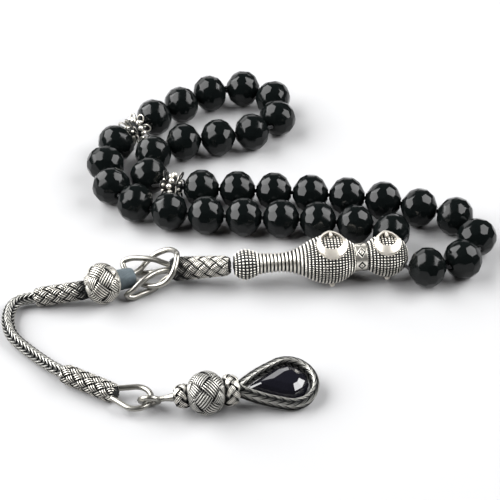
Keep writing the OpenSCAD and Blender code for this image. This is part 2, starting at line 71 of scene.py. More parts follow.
def make_camera():
    data = bpy.data.cameras.new("camera")
    data.sensor_width = 36.0
    data.lens = LENS_MM
    camera = bpy.data.objects.new("camera", data)
    bpy.context.collection.objects.link(camera)
    tilt = math.radians(CAMERA_ELEVATION)
    camera.location = LOOK_AT + CAMERA_DISTANCE * Vector((0, -math.cos(tilt), math.sin(tilt)))
    camera.rotation_euler = (math.pi / 2 - tilt, 0, 0)
    bpy.context.scene.camera = camera


make_camera()


# ---------- materials ----------
def principled(name, **values):
    """A material, its principled node and its node tree."""
    material = bpy.data.materials.new(name)
    material.use_nodes = True
    shader = material.node_tree.nodes["Principled BSDF"]
    for key, value in values.items():
        shader.inputs[key.replace("_", " ")].default_value = value
    return material, shader, material.node_tree


def noise(tree, scale, detail=2.0):
    """Noise over the object's own coordinates, which are metres."""
    place = tree.nodes.new("ShaderNodeTexCoord")
    texture = tree.nodes.new("ShaderNodeTexNoise")
    texture.inputs["Scale"].default_value = scale
    texture.inputs["Detail"].default_value = detail
    tree.links.new(place.outputs["Object"], texture.inputs["Vector"])
    return texture.outputs["Fac"]


def ramp(tree, value, low, high, out_low, out_high):
    """Value from low to high becomes out_low to out_high."""
    node = tree.nodes.new("ShaderNodeMapRange")
    for key, number in (("From Min", low), ("From Max", high), ("To Min", out_low), ("To Max", out_high)):
        node.inputs[key].default_value = number
    tree.links.new(value, node.inputs["Value"])
    return node.outputs["Result"]


def bump(tree, shader, height, strength, distance):
    node = tree.nodes.new("ShaderNodeBump")
    node.inputs["Strength"].default_value = strength
    node.inputs["Distance"].default_value = distance
    tree.links.new(height, node.inputs["Height"])
    tree.links.new(node.outputs["Normal"], shader.inputs["Normal"])


def blend_colours(tree, factor, first, second):
    node = tree.nodes.new("ShaderNodeMix")
    node.data_type = "RGBA"
    node.inputs["A"].default_value = (*first, 1)
    node.inputs["B"].default_value = (*second, 1)
    tree.links.new(factor, node.inputs["Factor"])
    return node.outputs["Result"]


def make_onyx():
    material, shader, tree = principled(
        "onyx", Base_Color=(0.003, 0.004, 0.004, 1), Roughness=0.1, IOR=1.3)
    tree.links.new(ramp(tree, noise(tree, 260), 0.35, 0.7, 0.07, 0.15), shader.inputs["Roughness"])
    bump(tree, shader, noise(tree, 420, 3), 0.05, 0.00004)
    return material


def make_stone():
    material, shader, tree = principled(
        "stone", Base_Color=(0.006, 0.006, 0.009, 1), Roughness=0.05, IOR=1.7, Coat_Weight=0.3)
    tree.links.new(ramp(tree, noise(tree, 300), 0.3, 0.7, 0.03, 0.1), shader.inputs["Roughness"])
    return material


def make_silver(name, bright, dark, polish, metal, reads_patina_and_shade=True):
    """Silver darkened by a value that each mesh carries at every point: painted shade on undersides,
    between wires and in grooves, with patina in the hollows.
    Solids that are shown as they are carry no such value, so their tarnish is a noise instead."""
    material, shader, tree = principled(name)
    speckle = noise(tree, 900, 3)
    if reads_patina_and_shade:
        # Reads the mesh's painted shade, with patina in the hollows
        depth = tree.nodes.new("ShaderNodeAttribute")
        depth.attribute_name = "patina_and_shade"
        speckled_patina_and_shade = tree.nodes.new("ShaderNodeMath")
        speckled_patina_and_shade.operation = "MULTIPLY_ADD"
        speckled_patina_and_shade.inputs[1].default_value = 0.45
        tree.links.new(speckle, speckled_patina_and_shade.inputs[0])
        tree.links.new(depth.outputs["Fac"], speckled_patina_and_shade.inputs[2])
        tarnish_and_shade = ramp(tree, speckled_patina_and_shade.outputs["Value"], 0.42, 0.95, 0.0, 1.0)
    else:
        tarnish_and_shade = ramp(tree, noise(tree, 350, 4), 0.5, 0.85, 0.0, 0.5)
    tree.links.new(blend_colours(tree, tarnish_and_shade, bright, dark), shader.inputs["Base Color"])
    tree.links.new(ramp(tree, tarnish_and_shade, 0.0, 1.0, polish, 0.6), shader.inputs["Roughness"])
    tree.links.new(ramp(tree, tarnish_and_shade, 0.0, 1.0, metal, 0.5), shader.inputs["Metallic"])
    bump(tree, shader, speckle, 0.25, 0.00003)
    return material


def make_thread():
    material, shader, tree = principled(
        "thread", Base_Color=(0.012, 0.012, 0.014, 1), Roughness=0.75, Sheen_Weight=0.3)
    bump(tree, shader, noise(tree, 2500, 2), 0.6, 0.0001)
    return material


WARM = (0.8, 0.77, 0.7)
COOL = (0.58, 0.57, 0.53)
# The near-black that silver darkens to where shade is painted and patina lies
PATINA_AND_SHADE_BLACK = (0.008, 0.009, 0.009)
ONYX = make_onyx()
STONE = make_stone()
SILVER = make_silver("silver", WARM, PATINA_AND_SHADE_BLACK, 0.3, 0.9)
DULL_SILVER = make_silver("dull_silver", COOL, PATINA_AND_SHADE_BLACK, 0.34, 0.9)
POLISHED = make_silver("polished_silver", (0.68, 0.64, 0.57), (0.36, 0.34, 0.3), 0.36, 0.75, False)
STEEL_WIRE = make_silver("smooth_wire", (0.33, 0.32, 0.29), (0.1, 0.1, 0.095), 0.3, 1.0, False)
WRAP = make_silver("wrapped_wire", (0.13, 0.165, 0.185), (0.03, 0.036, 0.04), 0.55, 0.5)
THREAD = make_thread()


# ---------- meshes ----------
def unit(vectors):
    return vectors / (np.linalg.norm(vectors, axis=-1, keepdims=True) + 1e-12)


def full_turn(count):
    """Evenly spaced angles round a circle."""
    return TAU * np.arange(count) / count


class Builder:
    """Gathers tubes and grids into one mesh with a value of painted shade and patina at every point."""

    def __init__(self):
        self.points, self.faces, self.patina_and_shade = [], [], []

    def grid(self, rings, patina_and_shade, closed_long=False):
        """rings: n x m x 3 points, each ring closed; then the painted shade and patina: one value, or n x m
        of them.
        An open row of rings gets a cap at each end."""
        n, m = rings.shape[:2]
        first = sum(len(p) for p in self.points)
        self.points.append(rings.reshape(-1, 3))
        self.patina_and_shade.append(np.broadcast_to(patina_and_shade, (n, m)).reshape(-1))
        rows = np.arange(n if closed_long else n - 1)
        a = first + rows[:, None] * m + np.arange(m)[None, :]
        b = first + rows[:, None] * m + (np.arange(m)[None, :] + 1) % m
        step = ((rows + 1) % n - rows)[:, None] * m
        self.faces += np.stack([a, b, b + step, a + step], -1).reshape(-1, 4).tolist()
        if not closed_long:
            self.faces.append(list(range(first + m - 1, first - 1, -1)))
            self.faces.append(list(range(first + (n - 1) * m, first + n * m)))

    def turned(self, radii, heights, sides, patina_and_shade):
        """A form turned about Z, with its outline given from one end to the other."""
        turn = full_turn(sides)
        r, z = np.reshape(radii, (-1, 1)), np.reshape(heights, (-1, 1))
        self.grid(np.stack([r * np.cos(turn), r * np.sin(turn), z + 0 * turn], -1), patina_and_shade)

    def tube(self, path, normals, radius, sides=6, closed=False, patina_and_shade=0.0, flat=1.0):
        """A wire along path. normals point out of the surface that it lies on; flat squeezes it that way.
        Its underside, which faces the surface it lies on, gets painted shade, and the given shade and
        patina add to that, point by point."""
        path = np.asarray(path, float)
        if closed:
            tangent = np.roll(path, -1, 0) - np.roll(path, 1, 0)
        else:
            tangent = np.gradient(path, axis=0)
        tangent = unit(tangent)
        normals = unit(normals - (normals * tangent).sum(1, keepdims=True) * tangent)
        side = np.cross(tangent, normals)
        turn = full_turn(sides)
        c, s = np.cos(turn)[None, :, None], np.sin(turn)[None, :, None]
        rings = path[:, None] + radius * (flat * c * normals[:, None] + s * side[:, None])
        # Painted shade on the side of the wire that faces the surface it lies on
        painted_underside_shade = np.clip(1.4 - 1.4 * np.cos(turn), 0, 1)[None, :]
        self.grid(rings, np.clip(painted_underside_shade + np.reshape(patina_and_shade, (-1, 1)), 0, 1), closed)

    def make(self, name, material, body, place=Matrix(), slot="silver", replaces=()):
        """The object, stood at place in millimetres. Without a body it is left unattached."""
        mesh = bpy.data.meshes.new(name)
        points = np.concatenate(self.points)
        mesh.from_pydata(points.tolist(), [], self.faces)
        mesh.polygons.foreach_set("use_smooth", [True] * len(mesh.polygons))
        layer = mesh.attributes.new("patina_and_shade", "FLOAT", "POINT")
        layer.data.foreach_set("value", np.concatenate(self.patina_and_shade).astype(np.float32))
        mesh.transform(Matrix.Scale(MM, 4) @ place)
        mesh.update()
        mesh.materials.append(material)
        piece = bpy.data.objects.new(name, mesh)
        bpy.context.collection.objects.link(piece)
        if body:
            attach(piece, body)
        if replaces:
            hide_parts(*replaces)
        return piece


def smooth_path(points, steps):
    """Catmull-Rom curve through points; the first and the last only guide it."""
    p = np.asarray(points, float)
    out = []
    for i in range(1, len(p) - 2):
        a, b, c, d = p[i - 1:i + 3]
        for t in np.arange(steps) / steps:
            out.append(0.5 * (2 * b + (c - a) * t + (2 * a - 5 * b + 4 * c - d) * t ** 2
                              + (3 * b - a - 3 * c + d) * t ** 3))
    return np.array(out + [p[-2]])


def carried_normals(path):
    """Normals that turn as little as possible along a free wire."""
    tangent = unit(np.gradient(path, axis=0))
    normal = np.cross(tangent[0], (0, 0, 1.0))
    out = []
    for t in tangent:
        normal = unit(normal - normal.dot(t) * t)
        out.append(normal)
    return np.array(out)


def aim(at, direction):
    """Stands +Z along a direction, with +X pointing down, as the solids do."""
    direction = Vector(direction).normalized()
    heading = math.atan2(direction.y, direction.x)
    slope = math.atan2(direction.z, math.hypot(direction.x, direction.y))
    return Matrix.Translation(Vector(at)) @ Matrix.Rotation(heading, 4, "Z") @ Matrix.Rotation(
        math.pi / 2 - slope, 4, "Y")


def along(yaw, pitch):
    """The direction at a heading and a slope in degrees."""
    yaw, pitch = math.radians(yaw), math.radians(pitch)
    return (math.cos(pitch) * math.cos(yaw), math.cos(pitch) * math.sin(yaw), math.sin(pitch))


def turned_by(degrees, axis):
    return Matrix.Rotation(math.radians(degrees), 4, axis)


def level_frame(path, closed=False):
    """The level direction across a path and the direction up from it, at each point."""
    tangent = np.gradient(path, axis=0)
    if closed:
        tangent[0] = tangent[-1] = path[1] - path[-2]
    tangent = unit(tangent)
    side = unit(np.cross(tangent, (0, 0, 1.0)))
    return side, np.cross(side, tangent)


def run_along(path):
    """Distance along a path at each point."""
    return np.concatenate([[0], np.cumsum(np.linalg.norm(np.diff(path, axis=0), axis=1))])


# ---------- woven forms, in millimetres about their own +Z axis ----------
def plateau(phase):
    """A wave with flat tops, for a ribbon that goes over and under others."""
    return np.tanh(2.2 * np.cos(phase)) / math.tanh(2.2)


def wire_places(wires):
    """Each wire of a ribbon: its offset from the middle in wires, and how near it is to the edge."""
    middle = (wires - 1) / 2
    return [(wire - middle, abs(wire - middle) / middle) for wire in range(wires)]


def braided_sleeve(length, profile, wires, twist, dark):
    """Two families of flat ribbons that spiral opposite ways round a turned form and weave.
    dark: where along the sleeve the colour is darkest, and how far the darkening reaches."""
    bands, wire_r, lift, step = 6, 0.22, 0.55, 0.22
    made = Builder()
    z = np.linspace(0, length, int(length / step))
    r = np.interp(z, *zip(*profile))
    lead = twist / np.median(r)
    spacing = TAU / bands / wires * 0.87
    outward = np.zeros((len(z), 3))
    for way in (1, -1):
        for band in range(bands):
            for offset, edge in wire_places(wires):
                start = TAU * band / bands + offset * spacing
                angle = start + way * lead * z
                other = start + 2 * way * lead * z
                over = way * plateau(math.pi * (band + other * bands / TAU))
                height = r - wire_r + lift * (over - 1)
                outward[:, 0], outward[:, 1] = np.cos(angle), np.sin(angle)
                path = outward * height[:, None]
                path[:, 2] = z
                # Painted shade on the wires that pass under and on each ribbon's outer wires; dark adds a
                # darker stretch along the sleeve
                patina_and_shade = 0.45 * (1 - over) / 2 + 0.2 * edge ** 3
                if dark:
                    patina_and_shade = patina_and_shade + 0.7 * np.clip(1 - abs(z - dark[0]) / dark[1], 0, 1)
                made.tube(path, outward, wire_r, patina_and_shade=patina_and_shade)
    return made


def turks_head(surface, leads, bights, wires, width, wire_r, lift, reach):
    """One flat ribbon of wires that laps a turned surface and weaves with itself.
    surface(angle, height) gives points and normals for height from -1 to 1."""
    made = Builder()
    t = leads * full_turn(leads * bights * 60)
    swing = bights * t / leads
    # Crossings fall every half step of this count, except at the bights, where the ribbon turns back
    count = swing / math.pi * leads - leads / 2
    lap = np.floor(count / leads)
    inside = count - lap * leads
    held = np.where(inside < 1, 0.5 + 0.5 * inside,
                    np.where(inside > leads - 1, leads - 1 + 0.5 * (inside - leads + 1), inside))
    over = plateau(math.pi * (held + lap * (leads - 1)))
    height = reach * np.sin(swing)
    centre, normal = surface(t, height)
    side = np.cross(normal, unit(np.roll(centre, -1, 0) - np.roll(centre, 1, 0)))
    narrow = 1 - 0.5 * np.abs(np.sin(swing)) ** 3
    for offset, edge in wire_places(wires):
        path = centre + (offset / wires * width * narrow)[:, None] * side
        out = surface.outward(path)
        path = surface.drop(path) + (lift * (over - 1) / 2 - wire_r)[:, None] * out
        # Painted shade on the wires that pass under and on the ribbon's outer wires, besides each wire's
        # underside
        made.tube(path, out, wire_r, closed=True, patina_and_shade=0.5 * (1 - over) / 2 + 0.2 * edge ** 3)
    return made


class Ellipsoid:
    """A round or flattened ball, with its radius across and its radius along the axis."""

    def __init__(self, radial, axial):
        self.axes = np.array([radial, radial, axial])

    def __call__(self, angle, height):
        lat = height * math.pi / 2
        out = np.stack([np.cos(lat) * np.cos(angle), np.cos(lat) * np.sin(angle), np.sin(lat)], -1)
        return self.drop(out), self.outward(self.drop(out))

    def drop(self, path):
        return path / np.linalg.norm(path / self.axes, axis=1, keepdims=True)

    def outward(self, path):
        return unit(path / self.axes ** 2)


class Band:
    """A barrel between two heights, fullest in the middle."""

    def __init__(self, low, high, low_r, mid_r, high_r):
        self.middle, self.half = (low + high) / 2, (high - low) / 2
        self.radii = (low_r, mid_r, high_r)

    def radius(self, z):
        f = np.clip((z - self.middle) / self.half, -1, 1)
        low, mid, high = self.radii
        return mid + (high - low) / 2 * f + ((high + low) / 2 - mid) * f * f

    def __call__(self, angle, height):
        z = self.middle + self.half * height
        path = np.stack([np.cos(angle), np.sin(angle), z], -1)
        return self.drop(path), self.outward(path)

    def drop(self, path):
        r = self.radius(path[:, 2])
        flat = np.hypot(path[:, 0], path[:, 1])
        out = path.copy()
        out[:, :2] *= (r / flat)[:, None]
        return out

    def outward(self, path):
        slope = (self.radius(path[:, 2] + 0.01) - self.radius(path[:, 2] - 0.01)) / 0.02
        flat = np.hypot(path[:, 0], path[:, 1])
        return unit(np.stack([path[:, 0] / flat, path[:, 1] / flat, -slope], -1))


def knitted(path, half_w, half_h, pitch, wire_r, spread,
            doubled=0.0, closed=False, first_turn=0.0, part=(0.0, 1.0)):
    """Loop-in-loop knitting: rows of V stitches along a path, in four columns round it.
    half_w and half_h are the half sizes across and up; doubled sets two wires side by side.
    Only rows that start in the given part of the path are made."""
    columns = 4
    made = Builder()
    run = run_along(path)
    total = run[-1]
    side, up = level_frame(path, closed)
    rows = int(round(total / pitch))
    pitch = total / rows
    length = 1.75 * pitch
    f = np.linspace(0, 1, 9)
    for row in range(rows if closed else rows - 1):
        if not part[0] <= row / rows < part[1]:
            continue
        for column in range(columns):
            middle = first_turn + TAU * (column + 0.5) / columns
            for arm in (-1, 1):
                for twin in ((-doubled, doubled) if doubled else (0.0,)):
                    s = row * pitch + length * f + twin
                    s = s % total if closed else np.clip(s, 0, total)
                    angle = middle + arm * spread * np.cos(f * math.pi / 2) ** 0.9
                    depth = wire_r * (1.0 + 1.5 * f ** 3 + 0.6 * (1 - f) ** 4)
                    centre, level, rise = [
                        np.stack([np.interp(s, run, v[:, k]) for k in range(3)], -1)
                        for v in (path, side, up)]
                    w, h = (half_w - depth)[:, None], (half_h - depth)[:, None]
                    c, d = np.cos(angle)[:, None], np.sin(angle)[:, None]
                    points = centre + w * c * level + h * d * rise
                    out = c / half_w * level + d / half_h * rise
                    # Painted shade towards both ends of each stitch, where it sinks under its neighbours
                    made.tube(points, out, wire_r, patina_and_shade=0.8 * f ** 3 + 0.5 * (1 - f) ** 3)
    return made


def plain_tube(path, half_w, half_h, sides=20):
    """Rings of a round or oval form along a level path."""
    side, up = level_frame(path)
    turn = full_turn(sides)[None, :, None]
    return path[:, None] + half_w * np.cos(turn) * side[:, None] + half_h * np.sin(turn) * up[:, None]


# ---------- beads, stone and string ----------
def soften(node, width, angle=12.0):
    """Rounds the sharp edges of a solid that is shown as it is."""
    modifier = frame["nodes"][node].modifiers.new("soft_edges", "BEVEL")
    modifier.width = width * MM
    modifier.segments = 3
    modifier.limit_method = "ANGLE"
    modifier.angle_limit = math.radians(angle)


def dome(node, amount):
    """Leans a cut solid's outer normals away from its centre, so that its facets shade as softly domed."""
    mesh = frame["nodes"][node].data
    centre = sum((vertex.co for vertex in mesh.vertices), Vector()) / len(mesh.vertices)
    normals = [Vector()] * len(mesh.loops)
    for face in mesh.polygons:
        for corner in face.loop_indices:
            out = (mesh.vertices[mesh.loops[corner].vertex_index].co - centre).normalized()
            outside = face.normal.dot(out) > 0.6
            normals[corner] = face.normal.lerp(out, amount if outside else 0).normalized()
    mesh.polygons.foreach_set("use_smooth", [True] * len(mesh.polygons))
    mesh.normals_split_custom_set(normals)


def dress(node, material):
    piece = frame["nodes"][node]
    piece.data.materials.clear()
    piece.data.materials.append(material)


def node_names(start):
    return sorted(n for n in frame["nodes"] if n.startswith(start))


for name in node_names("bead_"):
    dress(name, ONYX)
    dome(name, 0.42)
dress("stone", STONE)
soften("stone", 0.14)
for name in node_names("string_"):
    dress(name, THREAD)

JOINTS = {joint["name"]: joint for joint in frame["joints"]}
# The bodies on the two sides of each fold, and the neighbouring beads at its two gaps
FOLDS = [
    ("head_piece", "strand_1", ((7, 8), (32, 31))), ("strand_1", "strand_2", ((9, 10), (30, 29))),
    ("strand_2", "strand_3", ((12, 13), (25, 24))), ("strand_3", "strand_4", ((15, 16), (20, 19)))]
STRING_R = 0.5


def bead_centre(number):
    return Vector(JOINTS[f"spin_bead_{number:02d}"]["pos_m"]) / MM


def string_bridges():
    """Short lengths that keep the string whole where the loop folds."""
    half = 0.6
    for near_body, far_body, gaps in FOLDS:
        for near, far in gaps:
            way = (bead_centre(far) - bead_centre(near)).normalized()
            middle = (bead_centre(far) + bead_centre(near)) / 2
            path = np.array([middle + way * half * f for f in (-1, -0.5, 0, 0.5, 1)])
            made = Builder()
            made.tube(path, np.tile((0, 0, 1.0), (5, 1)), STRING_R, 12)
            piece = made.make(f"string_bridge_{near:02d}", THREAD, None, slot="string")
            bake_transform(piece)


string_bridges()

# ---------- places that the solids share, in millimetres ----------
SLEEVE_1 = ((-5.95, -16.92, 5.88), (-19.9, -15.3, 3.4))
COLLAR_MOUTH = (-29.6, -18.4, 3.4)
BALL_1 = (-36.3, -22.5, 5)
SLEEVE_2 = ((-39.6, -23.5, 4), (-52.2, -24.6, 2.4))
SLEEVE_3 = ((-43.2, -50.4, 2.35), (-31.1, -57.2, 2.35))
RING_PIVOT = (-32, -56.7, 2.35)
RING_R = 0.66
RING_YAW = -16.6
EYE = (-23.4, -59.35, 2.5)
BALL_2 = (-10.7, -59.5, 5)
BALL_RADII = (5.0, 4.5)
CHAIN_ROUTE = [
    (-47, -24.2, 3.1), (-50.5, -24.5, 2.6), (-54, -24.6, 2.1), (-56.6, -25.6, 1.9),
    (-58, -28.6, 1.7), (-57.9, -33, 1.7), (-56.2, -37.6, 1.7), (-52.6, -41.8, 1.7),
    (-48.4, -45.8, 1.7), (-45.2, -48.9, 2.2), (-41.8, -51.2, 2.35), (-39, -52.8, 2.35)]
LINK_ROUTE = [
    (-34, -20.3, 4.4), (-32.4, -19.2, 4), (-30.8, -18.3, 3.6), (-29.2, -17, 3.3),
    (-27.6, -14.4, 2.7), (-26.1, -11.8, 2.9), (-23.7, -10.4, 4.2), (-21, -10.9, 5.8),
    (-19.2, -12.9, 6.9), (-18.6, -15.8, 7.8), (-19.3, -19.2, 6.2), (-21.2, -20.8, 4),
    (-23.7, -20.9, 2.8), (-26.2, -20.2, 2.5), (-28.4, -19.6, 3.1), (-30.1, -19.6, 3.6),
    (-31.6, -20.7, 4), (-33.3, -21.5, 4.4)]
FAR_BIGHT_ROUTE = [
    (-14, -14.9, 5.3), (-16, -14.9, 4.9), (-18.6, -14.8, 4.3), (-21, -14.4, 4.2),
    (-24, -13.5, 4.8), (-27, -12.8, 4.7), (-29.9, -12.1, 4.1), (-32, -12.3, 3.1),
    (-31.3, -13.9, 1.9), (-28.8, -14.2, 1.1), (-25.4, -14, 1.1), (-22.4, -14.8, 2.2),
    (-20.4, -15, 2.6), (-18.6, -14.8, 2.7), (-16, -14.9, 3.2), (-14, -14.9, 3.6)]
NEAR_BIGHT_ROUTE = [
    (-14, -16.6, 5.3), (-16, -16.6, 4.9), (-18.6, -16.4, 4.4), (-21, -16.7, 4.4),
    (-23.8, -18.2, 4.7), (-26.6, -20.6, 4.4), (-29, -22.4, 3), (-30.5, -23, 1.8),
    (-29.2, -22.9, 0.9), (-26.8, -21.4, 0.85), (-24.3, -19.6, 0.85), (-22.2, -17.6, 1.4),
    (-20.4, -16.5, 2.1), (-18.6, -16.4, 2.7), (-16, -16.6, 3.2), (-14, -16.6, 3.6)]
LINK_WIRE_R = 0.7
CHAIN_R = 1.62
HEAD_PLACE = Matrix.Translation((18.5, -14.6, 6)) @ turned_by(5.8, "Z")
DROP_PLACE = Matrix.Translation(BALL_2) @ turned_by(14.8, "Z") @ turned_by(5.2, "Y") @ turned_by(12, "X")


def span(ends):
    a, b = Vector(ends[0]), Vector(ends[1])
    return (b - a).length, aim(a, b - a)


# ---------- head piece ----------
HEAD_PROFILE = [
    (-24, 2.2), (-23.5, 2.4), (-22.6, 3.2), (-20.7, 3.85), (-18.7, 3.3), (-17.3, 2.7),
    (-15, 2.45), (-12.3, 2.35), (-9.6, 2.8), (-7, 3.75), (-4.4, 5.05), (-2, 5.85),
    (0, 6), (2, 5.75), (4, 4.7), (5.7, 3.5), (6.4, 3.2)]
TIP_PROFILE = [
    (8.2, 3.1), (8.9, 3.3), (10.2, 4.2), (11.8, 4.95), (13.66, 5.2), (15.6, 4.85),
    (17.2, 3.95), (18.3, 2.7), (18.9, 1.2), (19.1, 0)]
HEAD_START, HEAD_END = -23.5, 18.86
BAND = (5.75, 8.75)
BAND_R = 3.35
LOZENGES = 6
# The hollow where the two string holes meet, and how the holes lie
CHAMBER = (13.66, 0, 0)
HOLE_SWING, HOLE_DROP = 42, -6
# Distance between the turned ribs at places along the head piece: finer on the bulbs than on the neck
RIB_PITCHES = [(-23.5, 0.86), (-19, 0.88), (-9, 0.9), (-4, 0.8), (19, 0.76)]
# Lengthwise grooves on the knob, on the big bulb and on the tip bulb, and where each count starts
PILLOWS = [(-24, 28), (-12, 52), (BAND[1], 44)]
# Where round grooves are crossed by lengthwise ones: the knob and the two bulbs, but not the neck
CROSSED = [(-23.5, 1), (-19, 1), (-17, 0), (-8.5, 0), (-5, 1), (19, 1)]


def head_radius(x):
    body = smooth_path([(a, b, 0) for a, b in HEAD_PROFILE], 5)
    tip = smooth_path([(a, b, 0) for a, b in TIP_PROFILE], 5)
    outline = np.concatenate([body, [(BAND[0] + 0.05, BAND_R, 0), (BAND[1] - 0.05, BAND_R, 0)], tip])
    return np.interp(x, outline[:, 0], outline[:, 1])


def groove_form(phase):
    """1 in the grooves of a ribbed surface and 0 on its ribs."""
    return np.clip((0.84 - np.abs(np.sin(phase))) / 0.3, 0, 1)


def head_piece():
    made = Builder()
    step = 0.09
    x = np.arange(HEAD_START, HEAD_END, step)
    turn = full_turn(416)
    r = head_radius(x)[:, None]
    on_band = ((x > BAND[0]) & (x < BAND[1]))[:, None]
    count = np.cumsum(step / np.interp(x, *zip(*RIB_PITCHES)))
    crossed = np.interp(x, *zip(*CROSSED))[:, None]
    groove_x = groove_form(math.pi * count)[:, None]
    starts, pillows = zip(*PILLOWS)
    pillow = np.take(pillows, np.searchsorted(starts, x) - 1)[:, None]
    groove_turn = groove_form(pillow / 2 * turn[None, :]) * crossed
    groove = np.maximum(groove_x, groove_turn)
    # The band is plain but for a row of sunk lozenges
    cell = TAU / LOZENGES
    half_width = 1.35
    u = ((turn + cell / 2) % cell - cell / 2)[None, :] * BAND_R / half_width
    w = (x - sum(BAND) / 2)[:, None]
    lozenge = np.abs(u) + np.abs(w)
    outline_or_dot = (lozenge < 1.0) & (lozenge > 0.55) | (lozenge < 0.2)
    rim = np.abs(w) > 1.36
    groove = np.where(on_band, np.where(outline_or_dot | rim, 0.85, 0.0), groove)
    depth = np.where(on_band, 0.1, 0.28) * groove
    radius = np.maximum(r - depth, 0.05)
    rings = np.stack([x[:, None] + 0 * radius, radius * np.cos(turn), radius * np.sin(turn)], -1)
    # Grooves, the band's sunk lozenges and its rim are darkened: painted shade, with patina in the hollows
    made.grid(rings, np.where(on_band, groove, np.clip(groove * 1.25 - 0.12, 0, 1)))
    made.make("imame_surface", SILVER, "head_piece", HEAD_PLACE, replaces=["imame_body"])


head_piece()
dress("imame_ornaments", POLISHED)
soften("imame_ornaments", 0.15, 35)


def string_holes():
    """Raised eyelets round the two string holes, and a dark plug in each hole as painted shade."""
    hole_r, eyelet_r, wire_r, mouth = 0.8, 0.95, 0.28, 5.0
    made = Builder()
    turn = full_turn(28)[:, None]
    for side in (-1, 1):
        out = np.array(along(side * HOLE_SWING, HOLE_DROP))
        one = unit(np.cross(out, (0, 0, 1.0)))
        two = np.cross(out, one)
        centre = CHAMBER + mouth * out
        eyelet = centre + eyelet_r * (np.cos(turn) * one + np.sin(turn) * two)
        made.tube(eyelet, np.broadcast_to(out, eyelet.shape), wire_r, 8, closed=True)
        hole = np.array([centre - 0.3 * out, centre + 0.06 * out])
        made.tube(hole, np.array([one, one]), hole_r, 20, patina_and_shade=1.0)
    made.make("string_eyelets", DULL_SILVER, "head_piece", HEAD_PLACE)


string_holes()


# ---------- spacers ----------
def spacer(node):
    """Two flowers of open petals with grains between them, over a core darkened with painted shade."""
    petals, wire_r, long_r, short_r = 6, 0.24, 1.288, 0.9856
    made = Builder()
    turn = full_turn(22)[:, None]
    for end in (-1, 1):
        for angle in full_turn(petals) + 0.2 * end:
            out = np.array([math.cos(angle), math.sin(angle), 0])
            across = np.array([-math.sin(angle), math.cos(angle), 0])
            lean = unit(out + (0, 0, end * 0.35))
            centre = out * 2.75 + (0, 0, end * 1.75)
            petal = centre + long_r * np.cos(turn) * lean + short_r * np.sin(turn) * across
            made.tube(petal, np.broadcast_to(np.cross(lean, across), petal.shape), wire_r, 8, closed=True)
            grain(made, out * 1.62 + (0, 0, end * 2.1), 0.42)
    for k, angle in enumerate(full_turn(12) + 0.1):
        grain(made, np.array([3.0 * math.cos(angle), 3.0 * math.sin(angle), 0.22 * (-1) ** k]), 0.72)
    radii, heights = (1.1, 1.35, 1.7, 2.7), (2.55, 2.3, 1.2, 0.6)
    made.turned(radii + radii[::-1], [-z for z in heights] + list(heights[::-1]), 32, 0.75)
    joint = JOINTS["spin_" + node]
    place = aim(Vector(joint["pos_m"]) / MM, joint["axis"])
    made.make(node + "_filigree", SILVER, node, place, replaces=[node])


def grain(made, centre, radius):
    """A small silver ball with painted shade on the side towards the axis."""
    lat = np.linspace(-math.pi / 2, math.pi / 2, 9)[:, None]
    turn = full_turn(12)[None, :]
    rings = centre + radius * np.stack([np.cos(lat) * np.cos(turn), np.cos(lat) * np.sin(turn),
                                        np.sin(lat) + 0 * turn], -1)
    flat = np.hypot(rings[..., 0], rings[..., 1])
    made.grid(rings, np.clip((np.hypot(centre[0], centre[1]) - flat) / radius * 0.8, 0, 1))


spacer("spacer_a")
spacer("spacer_b")


# ---------- tassel ----------
def sleeve(name, node, body, ends, profile, wires=3, twist=0.83, dark=None):
    """A braid over a core that lies just inside it, painted dark as shade."""
    length, place = span(ends)
    made = braided_sleeve(length, profile, wires, twist, dark)
    z = np.linspace(0, length, 24)
    made.turned(np.interp(z, *zip(*profile)) - 0.62, z, 32, 1.0)
    made.make(name, SILVER, body, place, replaces=[node])


def barrel(ends):
    """Outline of a sleeve that is rounded at both ends."""
    length, end_r, middle_r = span(ends)[0], 2.05, 2.38
    return [(0, end_r), (0.7, middle_r - 0.08), (1.6, middle_r), (length - 1.6, middle_r),
            (length - 0.7, middle_r - 0.08), (length, end_r)]


UPPER_LENGTH = span(SLEEVE_1)[0]
UPPER_PROFILE = [
    (0, 2.05), (0.8, 2.5), (5, 2.72), (11, 2.93), (UPPER_LENGTH - 1, 2.97), (UPPER_LENGTH, 2.65)]
sleeve("upper_sleeve_braid", "upper_sleeve", "tassel_head", SLEEVE_1, UPPER_PROFILE,
       wires=4, twist=1.0, dark=(UPPER_LENGTH, 6.5))
sleeve("middle_sleeve_braid", "middle_sleeve", "tassel_link", SLEEVE_2, barrel(SLEEVE_2), dark=(0, 3.5))
sleeve("lower_sleeve_braid", "lower_sleeve", "chain_end", SLEEVE_3, barrel(SLEEVE_3))


def ball(name, node, body, centre, direction, turn, material):
    """A woven ball over a core painted dark as shade."""
    made = turks_head(Ellipsoid(*BALL_RADII), leads=7, bights=5, wires=6, width=3.8,
                      wire_r=0.24, lift=0.65, reach=0.74)
    lat = np.linspace(-math.pi / 2, math.pi / 2, 17)
    r, h = BALL_RADII[0] - 0.85, BALL_RADII[1] - 0.85
    made.turned(r * np.cos(lat), h * np.sin(lat), 40, 1.0)
    made.make(name, material, body, aim(centre, direction) @ Matrix.Rotation(turn, 4, "Z"), replaces=[node])


ball("upper_ball_weave", "woven_ball_upper", "tassel_link", BALL_1, along(196, -4), 0.3, SILVER)
ball("lower_ball_weave", "woven_ball_lower", "pendant", BALL_2, along(7, 2), 0.9, DULL_SILVER)


